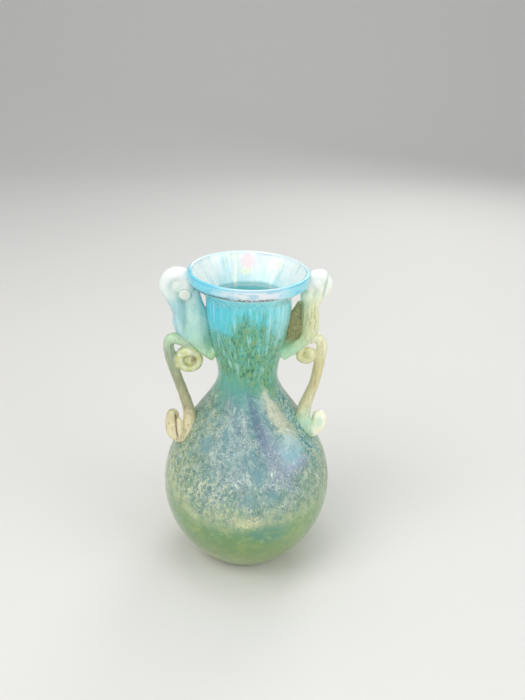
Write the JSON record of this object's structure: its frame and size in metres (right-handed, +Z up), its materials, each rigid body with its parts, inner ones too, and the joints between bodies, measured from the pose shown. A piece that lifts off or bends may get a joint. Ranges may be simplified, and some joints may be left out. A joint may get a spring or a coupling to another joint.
{
  "type": "two-handled glass vase",
  "caption": "Blown glass vase with a pear-shaped body, narrow waist, flared folded lip and two trailed scroll handles joining lip, neck and shoulder.",
  "frame": {"origin": "centre of the flat base, on the surface that the vase stands on", "axes": "+Z up along the vessel's axis, +X to the right handle, -X to the left handle, -Y towards the viewer"},
  "size_m": [0.0792, 0.0792, 0.1456],
  "materials": {
    "vessel_glass": "weathered, satin, slightly iridescent",
    "left_strap_glass": "milky, glossy",
    "left_scroll_glass": "weathered, satin",
    "right_strap_glass": "milky, glossy",
    "right_scroll_glass": "weathered, satin"
  },
  "bodies": {
    "root": {"vessel": "vessel_glass", "left_handle_strap": "left_strap_glass", "left_handle_scroll": "left_scroll_glass", "right_handle_strap": "right_strap_glass", "right_handle_scroll": "right_scroll_glass"}
  },
  "joints": []
}
